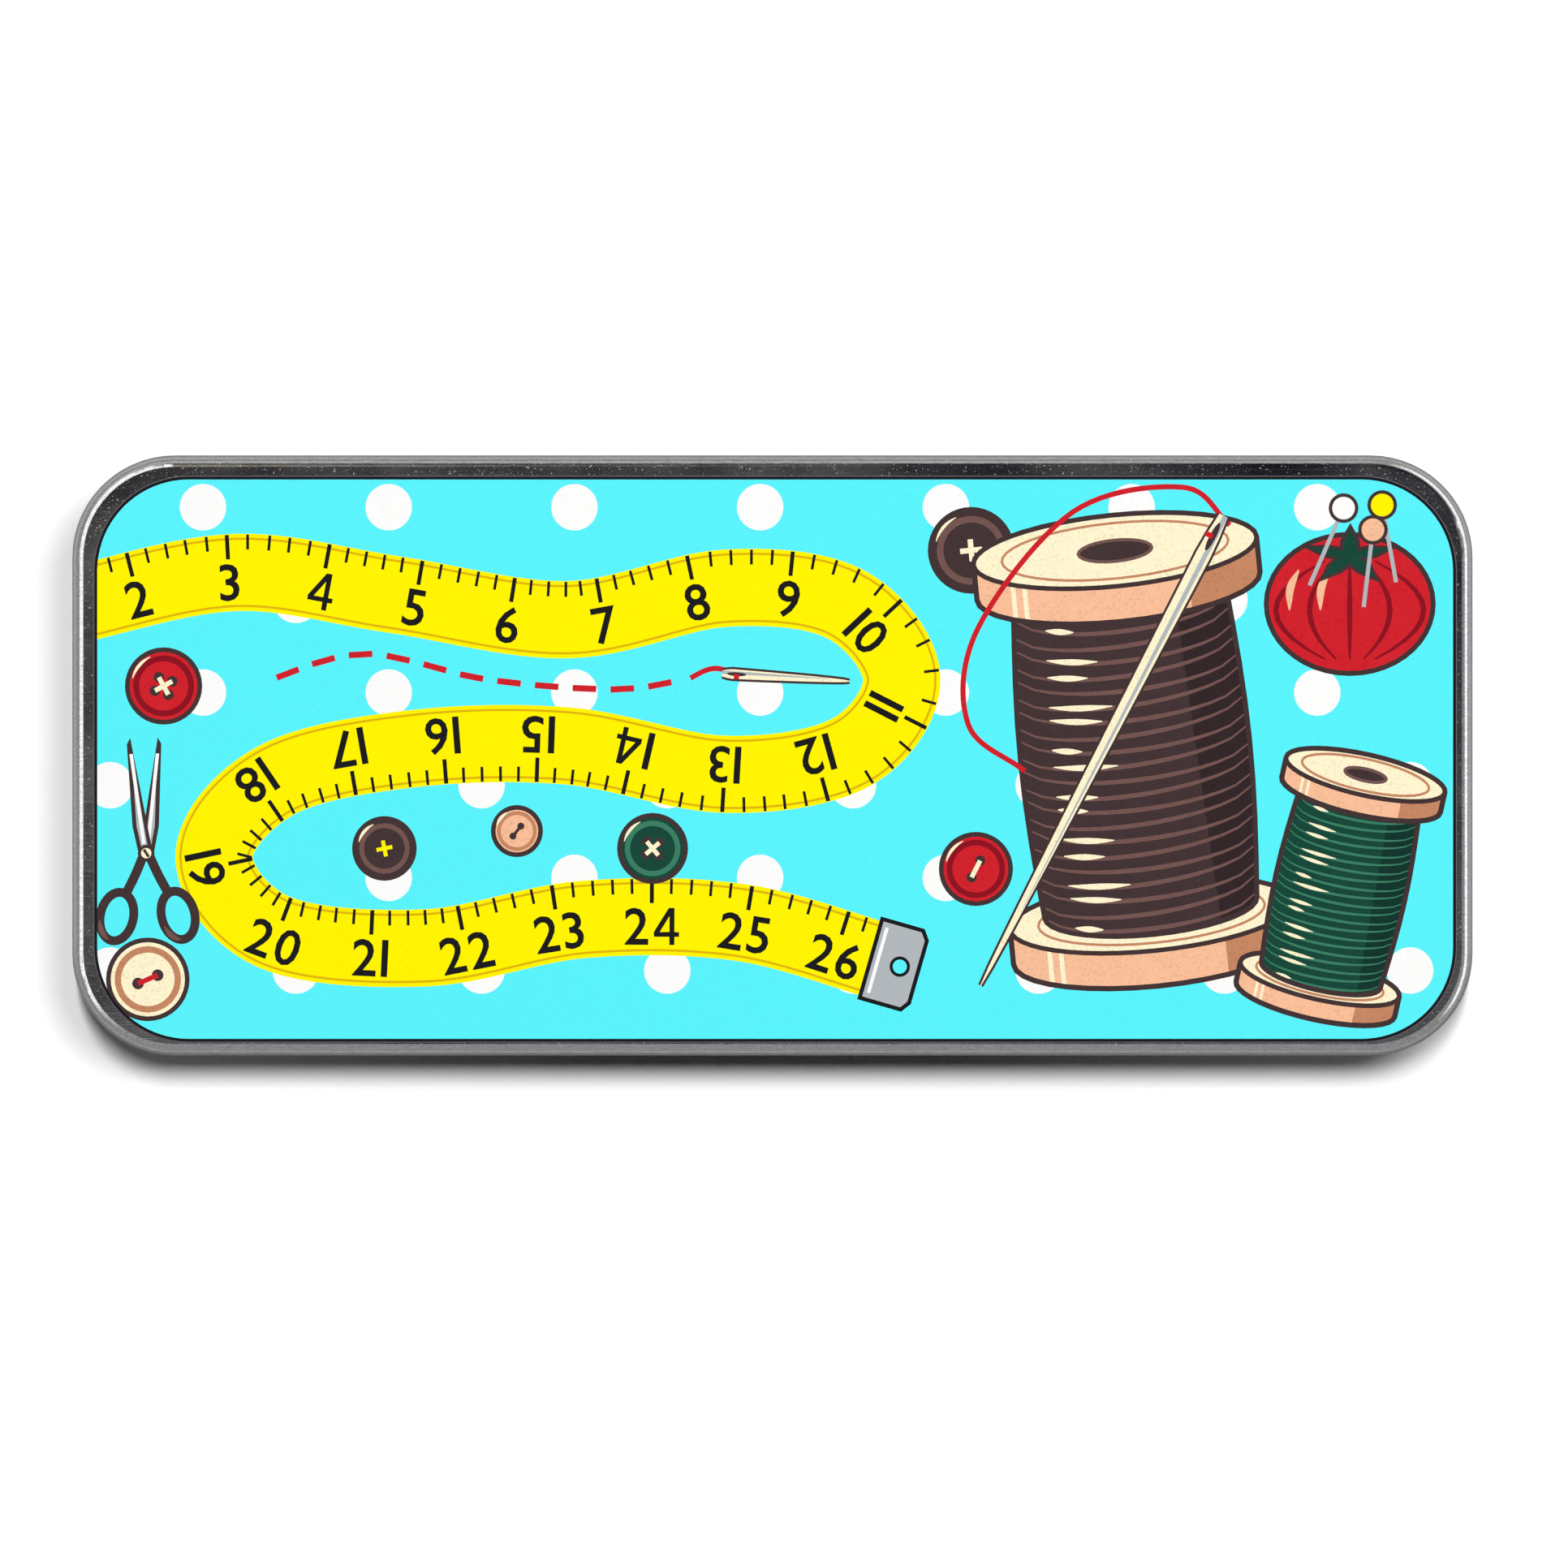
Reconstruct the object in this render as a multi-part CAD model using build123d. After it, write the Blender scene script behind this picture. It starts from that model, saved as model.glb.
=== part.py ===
from build123d import *
import os

# Magnetic needle case: a slim hinged tin, all sizes in millimetres.
# +X runs along the tin, +Y points to the hinge and +Z up. The origin is the middle of the underside.

# The tin as a whole
tin_length = 88.9
tin_width = 38.1
tin_height = 12.5
corner_radius = 6.5
sheet = 0.25

# Lid
shoulder_radius = 0.75
hem_height = 1.2

# Tray
foot_radius = 1.1
foot_width = 0.9
floor_rise = 0.35
shelf_height = 7.2
bend_radius = 0.3
rim_radius = 0.55
rim_wrap = 285
rim_below_lid = 1.25

# Fits between lid and tray
lid_side_gap = 0.3
lid_seat_gap = 0.2

# Hinges
hinge_from_end = 9.75
ear_width = 1.6
knuckle_width = 5.0
pin_radius = 0.4
pin_chamfer = 0.08
pin_running_gap = 0.05
knuckle_side_gap = 0.25
knuckle_under_lid = 0.2
knuckle_proud = 0.08
window_gap = 0.25

# Closing bumps on the front of the tray's neck
bump_from_end = 21.45
bump_length = 6.0
bump_radius = 0.5
bump_height = 0.18
bump_above_hem = 0.05

# Magnet sheets and the adhesive behind them
magnet_thickness = 0.76
adhesive_thickness = 0.1
magnet_margin = 0.5
magnet_corner_radius = 3.5
adhesive_inset = 0.5

# Label and the clear film over it
label_length = 86.45
label_width = 35.95
label_corner_radius = 6.05
label_thickness = 0.1
film_thickness = 0.05
label_shift_x = 0.17
label_shift_y = -0.24

# Worked out from the sizes above
lid_hem_bottom = shelf_height + lid_seat_gap
lid_inside_top = tin_height - sheet
hem_thickness = 2 * sheet
neck_inset = hem_thickness + lid_side_gap
rim_top = lid_inside_top - rim_below_lid
rim_centre_height = rim_top - rim_radius
floor_top = floor_rise + sheet
panel_start = foot_radius + foot_width + floor_rise
magnet_inset = max(panel_start + bend_radius, neck_inset + 2 * rim_radius) + magnet_margin
knuckle_radius = pin_radius + pin_running_gap + sheet
hinge_y = tin_width / 2 + knuckle_proud - knuckle_radius
hinge_z = lid_hem_bottom - knuckle_under_lid - knuckle_radius
window_width = knuckle_width + 2 * knuckle_side_gap
pin_length = window_width + 2 * ear_width
hinge_x = tin_length / 2 - hinge_from_end - pin_length / 2
window_depth = tin_width / 2 - hinge_y + knuckle_radius + window_gap
window_top = shelf_height + window_gap
window_bottom = hinge_z - knuckle_radius - 2 * window_gap
neck_front = neck_inset - tin_width / 2


def side_of_strip(points, distance):
    """The strip's centreline moved sideways by a distance, with its corners mitred."""
    moved = []
    for i, point in enumerate(points):
        before = (point - points[i - 1]).normalized() if i else None
        after = (points[i + 1] - point).normalized() if i + 1 < len(points) else None
        first = before or after
        last = after or before
        across = (Vector(-first.Y, first.X) + Vector(-last.Y, last.X)).normalized()
        moved.append(point + across * (distance / across.dot(Vector(-first.Y, first.X))))
    return moved


def strip_section(corners, bends):
    """Cross-section of bent sheet. Corners are (inwards from the outline, height) on the centreline."""
    points = [Vector(*corner) for corner in corners]
    left = side_of_strip(points, sheet / 2)
    right = side_of_strip(points, -sheet / 2)
    left_bends = []
    right_bends = []
    for i, bend in enumerate(bends, start=1):
        turn = (points[i] - points[i - 1]).cross(points[i + 1] - points[i]).Z
        towards_left = sheet / 2 if turn > 0 else -sheet / 2
        left_bends.append(bend - towards_left)
        right_bends.append(bend + towards_left)
    radii = [0, *left_bends, 0, 0, *reversed(right_bends), 0]
    return make_face(FilletPolyline(*left, *reversed(right), radius=radii, close=True))


def rolled_rim_section():
    """Cross-section of the rim: the neck's sheet rolled inwards and down, open at its end."""
    centre = (neck_inset + rim_radius, rim_centre_height)
    outer = CenterArc(centre, rim_radius, 180, -rim_wrap)
    inner = CenterArc(centre, rim_radius - sheet, 180, -rim_wrap)
    ends = [Line(outer @ 0, inner @ 0), Line(outer @ 1, inner @ 1)]
    return make_face([outer, inner, *ends])


def around_the_tin(section):
    """Carries a wall's section once around the tin's outline."""
    outline = RectangleRounded(tin_width, tin_length, corner_radius).rotate(Axis.Z, 90).wire()
    along = outline % 0
    inwards = Vector(0, 0, 1).cross(along)
    if inwards.dot(outline @ 0) > 0:
        inwards = -inwards
        along = -along
    start = Plane(origin=outline @ 0, x_dir=inwards, z_dir=along)
    return sweep(start * section, path=outline)


def inset_plate(inset, bottom, thickness):
    """A plate inside the tin's outline, its edge a given distance in from it."""
    shape = RectangleRounded(tin_length - 2 * inset, tin_width - 2 * inset, corner_radius - inset)
    return Pos(0, 0, bottom) * extrude(shape, thickness)


def rod(x, y, z, radius, length):
    """A round bar lying along the tin."""
    return Pos(x, y, z) * Rot(0, 90, 0) * Cylinder(radius, length)


def make_tray_shell():
    """The tray's floor, foot, wall, shelf, neck and rolled rim, before the hinges are cut."""
    wall = sheet / 2
    neck = neck_inset + sheet / 2
    corners = [
        (panel_start + bend_radius, floor_rise + wall),
        (panel_start, floor_rise + wall),
        (panel_start - floor_rise, wall),
        (wall, wall),
        (wall, shelf_height - wall),
        (neck, shelf_height - wall),
        (neck, rim_centre_height),
    ]
    bends = [bend_radius, bend_radius, foot_radius - wall, bend_radius, bend_radius]
    section = strip_section(corners, bends) + rolled_rim_section()
    floor = inset_plate(panel_start + bend_radius, floor_rise, sheet)
    return around_the_tin(section) + floor


def make_bump(radius):
    """A bar with round ends in the neck's front wall, one at each closing point."""
    centre_y = neck_front - bump_height + bump_radius
    centre_z = lid_hem_bottom + hem_height + bump_above_hem + bump_radius
    straight = bump_length - 2 * bump_radius
    bumps = []
    for side in (-1, 1):
        x = side * (tin_length / 2 - bump_from_end - bump_length / 2)
        bumps.append(rod(x, centre_y, centre_z, radius, straight))
        for end in (-1, 1):
            bumps.append(Pos(x + end * straight / 2, centre_y, centre_z) * Sphere(radius))
    return Part() + bumps


def make_base_tray():
    """The tray with its closing bumps, hinge windows and the rolled ears that hold the pins."""
    tray = make_tray_shell()
    in_front = Box(
        tin_length,
        tin_width,
        tin_height,
        align=(Align.CENTER, Align.MAX, Align.MIN),
    )
    tray += make_bump(bump_radius) & (Pos(0, neck_front + sheet / 2, 0) * in_front)
    tray -= make_bump(bump_radius - sheet)
    window = Box(
        window_width,
        2 * window_depth,
        window_top - window_bottom,
        align=(Align.CENTER, Align.CENTER, Align.MIN),
    )
    for side in (-1, 1):
        x = side * hinge_x
        tray += rod(x, hinge_y, hinge_z, knuckle_radius, pin_length)
        tray -= Pos(x, tin_width / 2, window_bottom) * window
        tray -= rod(x, hinge_y, hinge_z, pin_radius, pin_length + ear_width)
    return tray


def make_lid_shell():
    """The lid: flat top, round shoulder, skirt with a folded hem, and two tongues round the pins."""
    wall = sheet / 2
    top_edge = shoulder_radius + bend_radius
    corners = [
        (wall, lid_hem_bottom + hem_thickness / 2),
        (wall, tin_height - wall),
        (top_edge, tin_height - wall),
    ]
    skirt = strip_section(corners, [shoulder_radius - wall])
    fold = SlotOverall(hem_height, hem_thickness, rotation=90)
    hem = Pos(hem_thickness / 2, lid_hem_bottom + hem_height / 2) * fold
    lid = around_the_tin(skirt + hem) + inset_plate(top_edge, lid_inside_top, sheet)
    tongue = Box(
        knuckle_width,
        sheet,
        lid_hem_bottom + hem_height / 2 - hinge_z,
        align=(Align.CENTER, Align.MAX, Align.MIN),
    )
    for side in (-1, 1):
        x = side * hinge_x
        lid += Pos(x, tin_width / 2, hinge_z) * tongue
        lid += rod(x, hinge_y, hinge_z, knuckle_radius, knuckle_width)
        lid -= rod(x, hinge_y, hinge_z, pin_radius + pin_running_gap, knuckle_width + ear_width)
    return lid


def make_hinge_pin(side):
    """The wire pin of one hinge."""
    pin = rod(side * hinge_x, hinge_y, hinge_z, pin_radius, pin_length)
    return chamfer(pin.edges().filter_by(GeomType.CIRCLE), pin_chamfer)


def make_magnet_sheet(bottom):
    """A flexible magnet sheet with rounded corners, cut to lie inside the tray's rim."""
    length = tin_length - 2 * magnet_inset
    width = tin_width - 2 * magnet_inset
    shape = RectangleRounded(length, width, magnet_corner_radius)
    return Pos(0, 0, bottom) * extrude(shape, magnet_thickness)


def make_magnet_adhesive(bottom):
    """The adhesive film between a magnet sheet and the tin."""
    inset = magnet_inset + adhesive_inset
    length = tin_length - 2 * inset
    width = tin_width - 2 * inset
    shape = RectangleRounded(length, width, magnet_corner_radius - adhesive_inset)
    return Pos(0, 0, bottom) * extrude(shape, adhesive_thickness)


def make_label_layer(bottom, thickness):
    """One layer of the label on the lid, at its place a little off centre."""
    shape = RectangleRounded(label_length, label_width, label_corner_radius)
    return Pos(label_shift_x, label_shift_y, bottom) * extrude(shape, thickness)


lid_magnet_bottom = lid_inside_top - adhesive_thickness - magnet_thickness
parts = {
    "base_tray": make_base_tray(),
    "hinge_pin_left": make_hinge_pin(-1),
    "hinge_pin_right": make_hinge_pin(1),
    "base_magnet_adhesive": make_magnet_adhesive(floor_top),
    "base_magnet_sheet": make_magnet_sheet(floor_top + adhesive_thickness),
    "lid_shell": make_lid_shell(),
    "lid_magnet_adhesive": make_magnet_adhesive(lid_inside_top - adhesive_thickness),
    "lid_magnet_sheet": make_magnet_sheet(lid_magnet_bottom),
    "lid_label": make_label_layer(tin_height, label_thickness),
    "label_laminate": make_label_layer(tin_height + label_thickness, film_thickness),
}

os.makedirs("parts", exist_ok=True)
for name, shape in parts.items():
    export_step(shape, f"parts/{name}.step")
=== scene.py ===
import math

import bmesh
import bpy
from mathutils import Matrix, Vector
from mathutils.geometry import delaunay_2d_cdt


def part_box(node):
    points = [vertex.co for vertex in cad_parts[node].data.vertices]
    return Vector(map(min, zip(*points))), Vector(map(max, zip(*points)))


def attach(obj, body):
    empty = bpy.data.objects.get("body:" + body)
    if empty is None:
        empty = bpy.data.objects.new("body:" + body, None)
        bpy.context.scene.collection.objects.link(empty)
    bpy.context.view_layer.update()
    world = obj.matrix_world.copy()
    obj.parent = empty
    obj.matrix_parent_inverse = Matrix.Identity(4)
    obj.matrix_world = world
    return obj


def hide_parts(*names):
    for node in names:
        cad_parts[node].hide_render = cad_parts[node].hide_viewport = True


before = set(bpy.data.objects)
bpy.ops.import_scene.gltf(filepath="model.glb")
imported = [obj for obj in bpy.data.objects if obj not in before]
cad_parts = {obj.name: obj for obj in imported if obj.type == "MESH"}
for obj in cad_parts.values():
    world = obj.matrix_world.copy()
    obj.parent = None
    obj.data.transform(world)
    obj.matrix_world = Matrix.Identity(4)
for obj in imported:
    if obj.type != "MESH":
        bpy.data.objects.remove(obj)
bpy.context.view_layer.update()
print("frame loaded:", len(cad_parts), "nodes")

mm = 0.001
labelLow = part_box("lid_label")[0] / mm  # lowest corner of the label, in millimetres
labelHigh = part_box("label_laminate")[1] / mm  # highest corner of the film over it


def fromScreen(red, green, blue):
    # a colour read on screen (0 to 255), as the shader wants it
    def straighten(value):
        value /= 255
        return value / 12.92 if value <= 0.04045 else ((value + 0.055) / 1.055) ** 2.4

    return (straighten(red), straighten(green), straighten(blue), 1.0)


def addObject(name, data):
    item = bpy.data.objects.new(name, data)
    bpy.context.scene.collection.objects.link(item)
    return item


def meshFrom(builder, name):
    mesh = bpy.data.meshes.new(name)
    builder.to_mesh(mesh)
    builder.free()
    return addObject(name, mesh)


# camera, straight above as in the photograph
photo = {
    "pixels": 1932,
    "pixelsPerMm": 19.43,
    "tinMiddle": (951.75, 930.75),  # pixels, the middle of the tin's outline
    "distance": 0.62,  # metres above the lid
    "sensor": 36.0,
    "clip": (0.01, 50.0),  # metres, the nearest and farthest that it sees
}


def makeCamera():
    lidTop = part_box("lid_shell")[1].z
    frameWidth = photo["pixels"] / photo["pixelsPerMm"] * mm
    toMiddle = photo["pixels"] / 2
    right = (toMiddle - photo["tinMiddle"][0]) / photo["pixelsPerMm"] * mm
    down = (toMiddle - photo["tinMiddle"][1]) / photo["pixelsPerMm"] * mm
    data = bpy.data.cameras.new("camera")
    data.sensor_width = photo["sensor"]
    data.lens = photo["sensor"] * photo["distance"] / frameWidth
    data.clip_start, data.clip_end = photo["clip"]
    camera = addObject("camera", data)
    camera.location = (right, -down, lidTop + photo["distance"])
    bpy.context.scene.camera = camera


# shader nodes, put together by hand
def newMaterial(name):
    material = bpy.data.materials.new(name)
    material.use_nodes = True
    return material, material.node_tree, material.node_tree.nodes["Principled BSDF"]


def setInputs(tree, node, inputs):
    # outputs of other nodes are linked, and anything else is set
    for name, value in inputs.items():
        if isinstance(value, bpy.types.NodeSocket):
            tree.links.new(value, node.inputs[name])
        else:
            node.inputs[name].default_value = value


def addNode(tree, kind, inputs=None, **settings):
    node = tree.nodes.new(kind)
    for key, value in settings.items():
        setattr(node, key, value)
    setInputs(tree, node, inputs or {})
    return node


def noiseFrom(tree, perMetre, detail, rough, turn=0.0):
    # noise stretched by three scales, one for each axis of the tin
    coords = addNode(tree, "ShaderNodeTexCoord").outputs["Object"]
    scales = [1 / scale for scale in perMetre]
    inputs = {"Vector": coords, "Scale": scales, "Rotation": (0.0, 0.0, turn)}
    stretched = addNode(tree, "ShaderNodeMapping", inputs, vector_type="TEXTURE").outputs["Vector"]
    inputs = {"Vector": stretched, "Scale": 1.0, "Detail": detail, "Roughness": rough}
    return addNode(tree, "ShaderNodeTexNoise", inputs).outputs["Fac"]


def remap(tree, value, low, high, fromLow=0.0, fromHigh=1.0):
    limits = {"From Min": fromLow, "From Max": fromHigh, "To Min": low, "To Max": high}
    return addNode(tree, "ShaderNodeMapRange", {"Value": value, **limits}).outputs["Result"]


def fadeIn(tree, value, start, full, most=1.0):
    # nothing up to the start, and the most there is from where it is full
    return remap(tree, value, 0.0, most, start, full)


def mixColours(tree, factor, first, second):
    node = addNode(tree, "ShaderNodeMix", {0: factor, 6: first, 7: second}, data_type="RGBA")
    return node.outputs[2]


def addBump(tree, height, distance, strength, below=None):
    inputs = {"Height": height, "Distance": distance, "Strength": strength}
    if below is not None:
        inputs["Normal"] = below
    return addNode(tree, "ShaderNodeBump", inputs).outputs["Normal"]


def combine(tree, operation, first, second):
    return addNode(tree, "ShaderNodeMath", {0: first, 1: second}, operation=operation).outputs[0]


def splitUp(tree, vector):
    # its X, Y and Z
    return addNode(tree, "ShaderNodeSeparateXYZ", {0: vector}).outputs


# In the materials a noise has its marks to the metre along X, Y and Z, and a bump its depth in metres
# and its strength. A pair whose name ends in From has the levels between which a noise fades in.

# tinplate: bright steel sheet, its grain running along the tin
tinplate = {
    "top": ((0.43, 0.44, 0.455, 1.0), (0.325, 0.333, 0.345, 1.0)),  # bright and dull on the lid's top, a little paler and bluer than the walls as painted light that sets how its reflections read
    "walls": ((0.43, 0.432, 0.435, 1.0), (0.315, 0.317, 0.32, 1.0)),  # and on everything below it, a little darker as painted shade on the shoulder's outer band
    "topStarts": (0.22, 0.1),  # millimetres under the lid's top
    "edgeTint": (0.4, 0.4, 0.4, 1.0),  # keeps the far edge of the shoulder from turning white
    "grain": {"perMetre": (1400, 9000, 9000), "detail": 4.0, "rough": 0.6},
    "mottle": {"perMetre": (9500, 9500, 9500), "detail": 3.0, "rough": 0.6},
    "smudges": {"perMetre": (90, 140, 140), "detail": 5.0, "rough": 0.55},
    "scratches": {"perMetre": (60, 5200, 5200), "detail": 2.0, "rough": 0.4},
    "specks": {"perMetre": (8200, 8200, 8200), "detail": 2.0, "rough": 0.5},
    "dullFrom": (0.35, 0.75),
    "mottleFrom": (0.3, 0.62),
    "smudgesFrom": (0.35, 0.7),
    "scratchesFrom": (0.62, 0.7),
    "specksFrom": (0.685, 0.77),
    "mottleShades": (0.76, 1.0),  # darkest and palest
    "roughness": (0.11, 0.21),
    "grainRoughness": (-0.03, 0.05),  # what the grain adds to it
    "grainBump": (4e-6, 0.6),
    "scratchBump": (2e-6, 0.5),
    "speckBump": (8e-6, 0.8),
}


def makeTinplate():
    material, tree, shader = newMaterial("tinplateSheet")
    noises = ("grain", "smudges", "scratches", "mottle", "specks")
    grain, smudges, scratches, mottle, specks = (noiseFrom(tree, **tinplate[name]) for name in noises)
    height = splitUp(tree, addNode(tree, "ShaderNodeTexCoord").outputs["Object"])["Z"]
    low, high = (labelLow.z * mm - depth * mm for depth in tinplate["topStarts"])
    worn = fadeIn(tree, grain, *tinplate["dullFrom"])
    top, walls = (mixColours(tree, worn, *tinplate[name]) for name in ("top", "walls"))
    # painted light and shade: the lid's top takes its own tone, the shoulder below it the walls' darker one
    tone = mixColours(tree, fadeIn(tree, height, low, high), walls, top)
    shade = remap(tree, mottle, *tinplate["mottleShades"], *tinplate["mottleFrom"])
    shaded = addNode(tree, "ShaderNodeVectorMath", {0: tone, "Scale": shade}, operation="SCALE")
    smudged = remap(tree, smudges, *tinplate["roughness"], *tinplate["smudgesFrom"])
    fine = addBump(tree, grain, *tinplate["grainBump"])
    long = addBump(tree, fadeIn(tree, scratches, *tinplate["scratchesFrom"]), *tinplate["scratchBump"], fine)
    look = {
        "Base Color": shaded.outputs[0],
        "Roughness": combine(tree, "ADD", smudged, remap(tree, grain, *tinplate["grainRoughness"])),
        "Normal": addBump(tree, fadeIn(tree, specks, *tinplate["specksFrom"]), *tinplate["speckBump"], long),
        "Metallic": 1.0,
        "Specular Tint": tinplate["edgeTint"],
    }
    setInputs(tree, shader, look)
    return material


# drawn wire of the hinge pins
wire = {
    "bright": (0.5, 0.5, 0.49, 1.0),
    "dull": (0.3, 0.3, 0.29, 1.0),
    "streaks": {"perMetre": (300, 16000, 16000), "detail": 3.0, "rough": 0.6},
    "roughness": (0.25, 0.45),
    "bump": (6e-6, 0.6),
}


def makeWire():
    material, tree, shader = newMaterial("drawnWire")
    streaks = noiseFrom(tree, **wire["streaks"])
    look = {
        "Base Color": mixColours(tree, streaks, wire["bright"], wire["dull"]),
        "Roughness": remap(tree, streaks, *wire["roughness"]),
        "Normal": addBump(tree, streaks, *wire["bump"]),
        "Metallic": 1.0,
    }
    setInputs(tree, shader, look)
    return material


# flexible magnet: ferrite in rubber, rolled to a matt sheet and lightly scuffed by needles
magnet = {
    "dark": (0.017, 0.016, 0.0155, 1.0),
    "dusty": (0.05, 0.047, 0.044, 1.0),
    "speck": (0.13, 0.125, 0.12, 1.0),
    "scuff": (0.1, 0.098, 0.095, 1.0),
    "speckle": {"perMetre": (6200, 6200, 6200), "detail": 4.0, "rough": 0.65},
    "rollMarks": {"perMetre": (90, 3000, 3000), "detail": 2.0, "rough": 0.5},
    "clouds": {"perMetre": (110, 150, 150), "detail": 4.0, "rough": 0.6},
    "scuffs": {"perMetre": (130, 9000, 9000), "detail": 1.0, "rough": 0.4},
    "scuffTurns": (0.5, -0.9, 2.3),  # radians, one for each set of scuffs
    "cloudsFrom": (0.3, 0.75),
    "rollMarksFrom": (0.5, 0.62, 0.45),  # the third number is how strong it gets
    "speckleFrom": (0.58, 0.68, 0.8),
    "scuffsFrom": (0.7, 0.78, 0.55),
    "roughness": (0.5, 0.72),
    "shine": 0.4,
    "gritBump": (1.2e-5, 0.7),
    "rollBump": (1.5e-5, 0.4),
}


def makeMagnet():
    material, tree, shader = newMaterial("flexibleMagnet")
    noises = ("speckle", "rollMarks", "clouds")
    speckle, rolls, clouds = (noiseFrom(tree, **magnet[name]) for name in noises)
    tone = mixColours(tree, fadeIn(tree, clouds, *magnet["cloudsFrom"]), magnet["dark"], magnet["dusty"])
    tone = mixColours(tree, fadeIn(tree, rolls, *magnet["rollMarksFrom"]), tone, magnet["dusty"])
    tone = mixColours(tree, fadeIn(tree, speckle, *magnet["speckleFrom"]), tone, magnet["speck"])
    for turn in magnet["scuffTurns"]:
        lines = noiseFrom(tree, **magnet["scuffs"], turn=turn)
        tone = mixColours(tree, fadeIn(tree, lines, *magnet["scuffsFrom"]), tone, magnet["scuff"])
    grit = addBump(tree, speckle, *magnet["gritBump"])
    look = {
        "Base Color": tone,
        "Roughness": remap(tree, clouds, *magnet["roughness"]),
        "Normal": addBump(tree, rolls, *magnet["rollBump"], grit),
        "Specular IOR Level": magnet["shine"],
    }
    setInputs(tree, shader, look)
    return material


# adhesive film behind the magnet sheets
adhesive = {
    "clear": (0.82, 0.78, 0.64, 1.0),
    "cloudy": (0.66, 0.6, 0.45, 1.0),
    "bubbles": {"perMetre": (900, 900, 900), "detail": 5.0, "rough": 0.6},
    "roughness": (0.3, 0.55),
    "bump": (1e-5, 0.5),
}


def makeAdhesive():
    material, tree, shader = newMaterial("adhesiveFilm")
    bubbles = noiseFrom(tree, **adhesive["bubbles"])
    look = {
        "Base Color": mixColours(tree, bubbles, adhesive["clear"], adhesive["cloudy"]),
        "Roughness": remap(tree, bubbles, *adhesive["roughness"]),
        "Normal": addBump(tree, bubbles, *adhesive["bump"]),
    }
    setInputs(tree, shader, look)
    return material


# printing inks, from the colours of the photograph
inks = {
    "aqua": fromScreen(90, 242, 250),
    "white": fromScreen(251, 251, 250),
    "yellow": fromScreen(255, 242, 0),
    "ochre": fromScreen(222, 178, 14),
    "black": fromScreen(16, 15, 18),
    "brown": fromScreen(62, 47, 48),
    "darkBrown": fromScreen(44, 32, 34),
    "midBrown": fromScreen(112, 82, 78),
    "tan": fromScreen(196, 134, 98),
    "peach": fromScreen(248, 190, 152),
    "cream": fromScreen(255, 244, 206),
    "green": fromScreen(18, 66, 52),
    "darkGreen": fromScreen(10, 46, 38),
    "lightGreen": fromScreen(58, 122, 96),
    "red": fromScreen(206, 34, 44),
    "darkRed": fromScreen(136, 18, 32),
    "grey": fromScreen(176, 182, 186),
    "paper": fromScreen(96, 90, 100),
}

printing = {
    "pictureInks": ("brown", "darkBrown", "midBrown", "tan", "peach", "cream", "green", "darkGreen", "red"),
    "pictureGrain": 0.22,  # the pictures are printed more coarsely
    "plainGrain": 0.05,
    "mottle": {"perMetre": (5200, 5200, 5200), "detail": 4.0, "rough": 0.6},
    "patches": {"perMetre": (900, 900, 900), "detail": 4.0, "rough": 0.6},
    "ripple": {"perMetre": (420, 420, 420), "detail": 2.0, "rough": 0.45},
    "mottleFrom": (0.5, 0.72),
    "patchesFrom": (0.5, 0.75),
    "palerBy": (0.25, 0.01),  # in the patches: more where the ink is halfway dark, and a little throughout
    "roughness": (0.42, 0.56),
    "rippleBump": (4e-6, 0.35),
    "surface": {
        "Specular IOR Level": 0.12,
        "Coat Weight": 0.75,  # the clear film
        "Coat Roughness": 0.05,
        "Coat IOR": 1.45,
    },
}


def makeInk(name, colour):
    material, tree, shader = newMaterial("ink" + name[0].upper() + name[1:])
    grain = printing["pictureGrain"] if name in printing["pictureInks"] else printing["plainGrain"]
    mottle, patches, ripple = (noiseFrom(tree, **printing[key]) for key in ("mottle", "patches", "ripple"))
    halfway, throughout = printing["palerBy"]
    darker = tuple(part * (1 - grain) for part in colour[:3])
    paler = tuple(part + halfway * grain * part * (1 - part) + throughout * grain for part in colour[:3])
    printed = mixColours(tree, fadeIn(tree, mottle, *printing["mottleFrom"]), colour, (*darker, 1.0))
    washed = mixColours(tree, fadeIn(tree, patches, *printing["patchesFrom"]), printed, (*paler, 1.0))
    look = {
        "Base Color": washed,
        "Roughness": remap(tree, mottle, *printing["roughness"]),
        "Coat Normal": addBump(tree, ripple, *printing["rippleBump"]),
        **printing["surface"],
    }
    setInputs(tree, shader, look)
    return material


# outlines for the artwork, all in millimetres from the middle of the tin
art = []  # (ink, corners) from the bottom of the print to its top
thinnest = 5e-4  # outlines with less area than this, for each millimetre of length, are left out


def paint(ink, corners):
    # every outline runs anticlockwise
    corners = [Vector(corner) for corner in corners]
    sides = list(zip(corners, corners[1:] + corners[:1]))
    area = sum(a.cross(b) for a, b in sides) / 2
    if abs(area) > thinnest * max((b - a).length for a, b in sides):
        art.append((ink, corners if area > 0 else corners[::-1]))


def holds(corners, spot):
    # whether the spot lies inside the outline
    inside = False
    for a, b in zip(corners, corners[1:] + corners[:1]):
        if (a.y > spot.y) != (b.y > spot.y) and spot.x < a.x + (spot.y - a.y) / (b.y - a.y) * (b.x - a.x):
            inside = not inside
    return inside


def oval(middle, wide, high=None, turn=0.0, steps=36):
    high = wide if high is None else high
    spin = Matrix.Rotation(turn, 2)
    return [
        Vector(middle) + spin @ Vector((wide * math.cos(a), high * math.sin(a)))
        for a in (math.tau * i / steps for i in range(steps))
    ]


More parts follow.
